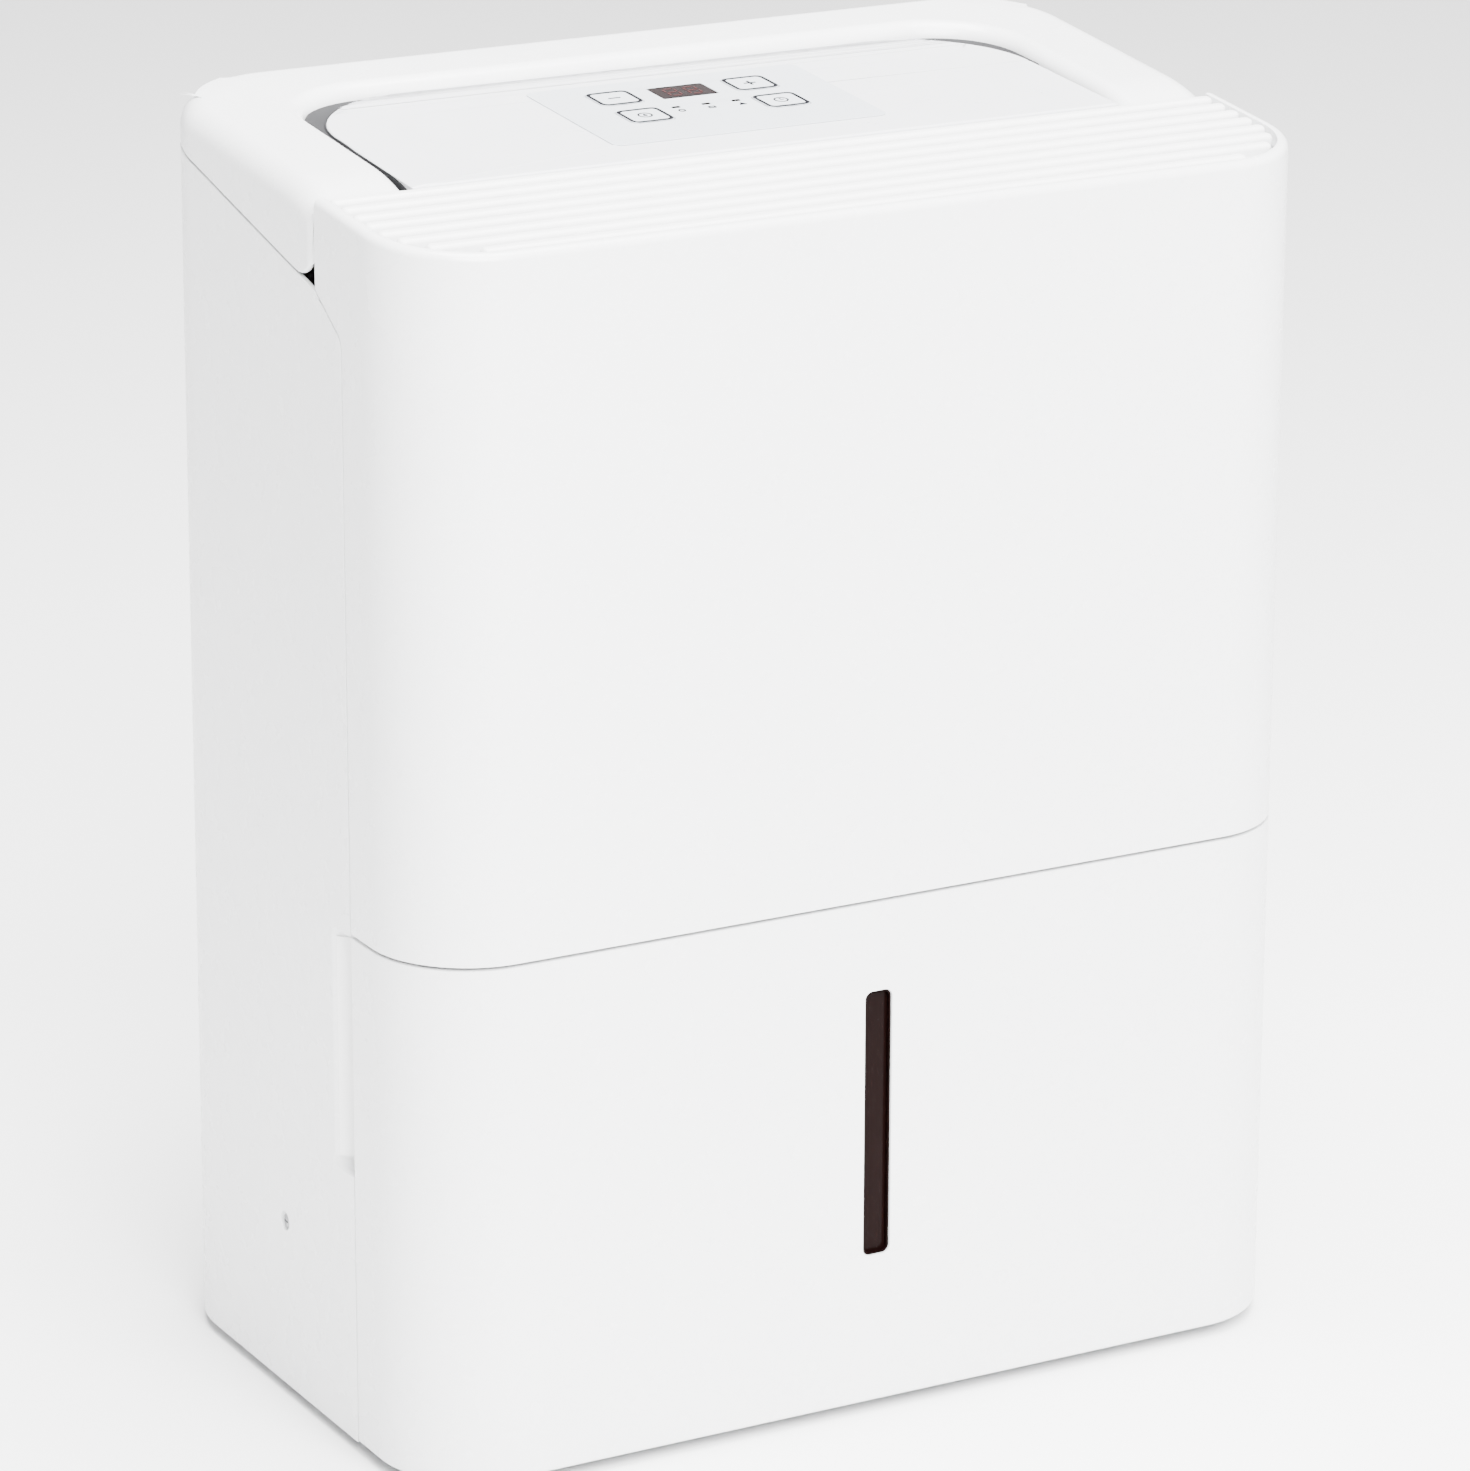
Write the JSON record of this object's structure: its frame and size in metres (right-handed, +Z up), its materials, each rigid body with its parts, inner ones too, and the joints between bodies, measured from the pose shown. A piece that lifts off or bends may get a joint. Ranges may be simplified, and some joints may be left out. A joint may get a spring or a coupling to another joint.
{
  "type": "portable dehumidifier",
  "caption": "Upright portable dehumidifier with a sloping slatted top outlet, sunk key deck, pull-out front bucket with level window, and rear intake grille.",
  "frame": {"origin": "bottom centre, on the floor between the feet", "axes": "+Z up, -Y out of the front that holds the bucket, +X to the right as seen from the front"},
  "size_m": [0.386, 0.236, 0.5],
  "materials": {
    "white_plastic": "satin white moulded ABS",
    "deck_plastic": "satin pale grey-white moulded ABS",
    "inner_plastic": "plain grey moulded plastic",
    "tank_plastic": "milky polypropylene",
    "film": "thin grey polyester film",
    "smoked_lens": "polished dark smoked acrylic",
    "lamp_lens": "small dark lamp lens",
    "rubber": "matt black rubber",
    "steel": "zinc-plated steel",
    "painted_steel": "semi-gloss black paint",
    "aluminium": "mill-finish aluminium",
    "copper": "drawn copper tube",
    "circuit": "solder-masked board",
    "net": "woven filter net",
    "foam": "closed-cell foam"
  },
  "bodies": {
    "cabinet": {"base_pan": "inner_plastic", "foot_1": "rubber", "foot_2": "rubber", "foot_3": "rubber", "foot_4": "rubber", "rear_housing": "white_plastic", "front_panel": "white_plastic", "top_cover": "white_plastic", "outlet_grille": "white_plastic", "control_deck": "deck_plastic", "control_overlay": "film", "display_window": "smoked_lens", "led_1": "lamp_lens", "led_2": "lamp_lens", "led_3": "lamp_lens", "control_board": "circuit", "bucket_switch": "painted_steel", "drain_spout": "inner_plastic", "cord_gland": "rubber", "bulkhead": "inner_plastic", "drain_tray": "inner_plastic", "evaporator": "aluminium", "condenser": "aluminium", "compressor": "painted_steel", "compressor_grommet_1": "rubber", "compressor_grommet_2": "rubber", "compressor_grommet_3": "rubber", "accumulator": "painted_steel", "suction_pipe": "copper", "discharge_pipe": "copper", "capillary_pipe": "copper", "accumulator_link": "copper", "scroll_housing": "inner_plastic", "fan_motor": "steel", "run_capacitor": "aluminium", "humidity_sensor": "inner_plastic", "screw_1": "steel", "screw_2": "steel", "screw_3": "steel", "screw_4": "steel"},
    "bucket": {"bucket": "tank_plastic", "bucket_front": "white_plastic", "level_window": "smoked_lens"},
    "bail": {"bucket_handle": "white_plastic"},
    "float": {"float_arm": "white_plastic", "float_block": "foam"},
    "switch_button": {"switch_plunger": "deck_plastic"},
    "intake": {"intake_grille": "white_plastic", "filter_frame": "inner_plastic", "filter_mesh": "net"},
    "drain_plug": {"drain_cap": "rubber"},
    "fan": {"fan_wheel": "inner_plastic", "motor_shaft": "steel"},
    "down_key": {"key_down": "film"},
    "up_key": {"key_up": "film"},
    "mode_key": {"key_mode": "film"},
    "timer_key": {"key_timer": "film"}
  },
  "joints": [
    {"name": "bucket_slide", "type": "slide", "parent": "cabinet", "child": "bucket", "axis": [0, -1, 0], "range_m": [0, 0.26]},
    {"name": "bail_hinge", "type": "hinge", "parent": "bucket", "child": "bail", "pos_m": [0, -0.066, 0.163], "axis": [-1, 0, 0], "range_deg": [0, 90]},
    {"name": "float_hinge", "type": "hinge", "parent": "bucket", "child": "float", "pos_m": [-0.13, -0.024, 0.15], "axis": [-1, 0, 0], "range_deg": [0, 15]},
    {"name": "switch_press", "type": "slide", "parent": "cabinet", "child": "switch_button", "axis": [0, 1, 0], "range_m": [0, 0.0008], "stiffness_N_per_m": 400, "springref_m": -0.0004},
    {"name": "intake_hinge", "type": "hinge", "parent": "cabinet", "child": "intake", "pos_m": [0, 0.115, 0.2315], "axis": [-1, 0, 0], "range_deg": [0, 60]},
    {"name": "drain_cap_pull", "type": "slide", "parent": "cabinet", "child": "drain_plug", "axis": [0, 1, 0], "range_m": [0, 0.04]},
    {"name": "fan_spin", "type": "hinge", "parent": "cabinet", "child": "fan", "pos_m": [0, -0.1, 0.325], "axis": [0, 1, 0], "continuous": true},
    {"name": "down_key_press", "type": "slide", "parent": "cabinet", "child": "down_key", "axis": [0, 0.0718, -0.9974], "range_m": [0, 0.0008], "stiffness_N_per_m": 400, "springref_m": -0.0004},
    {"name": "up_key_press", "type": "slide", "parent": "cabinet", "child": "up_key", "axis": [0, 0.0718, -0.9974], "range_m": [0, 0.0008], "stiffness_N_per_m": 400, "springref_m": -0.0004},
    {"name": "mode_key_press", "type": "slide", "parent": "cabinet", "child": "mode_key", "axis": [0, 0.0718, -0.9974], "range_m": [0, 0.0008], "stiffness_N_per_m": 400, "springref_m": -0.0004},
    {"name": "timer_key_press", "type": "slide", "parent": "cabinet", "child": "timer_key", "axis": [0, 0.0718, -0.9974], "range_m": [0, 0.0008], "stiffness_N_per_m": 400, "springref_m": -0.0004}
  ]
}
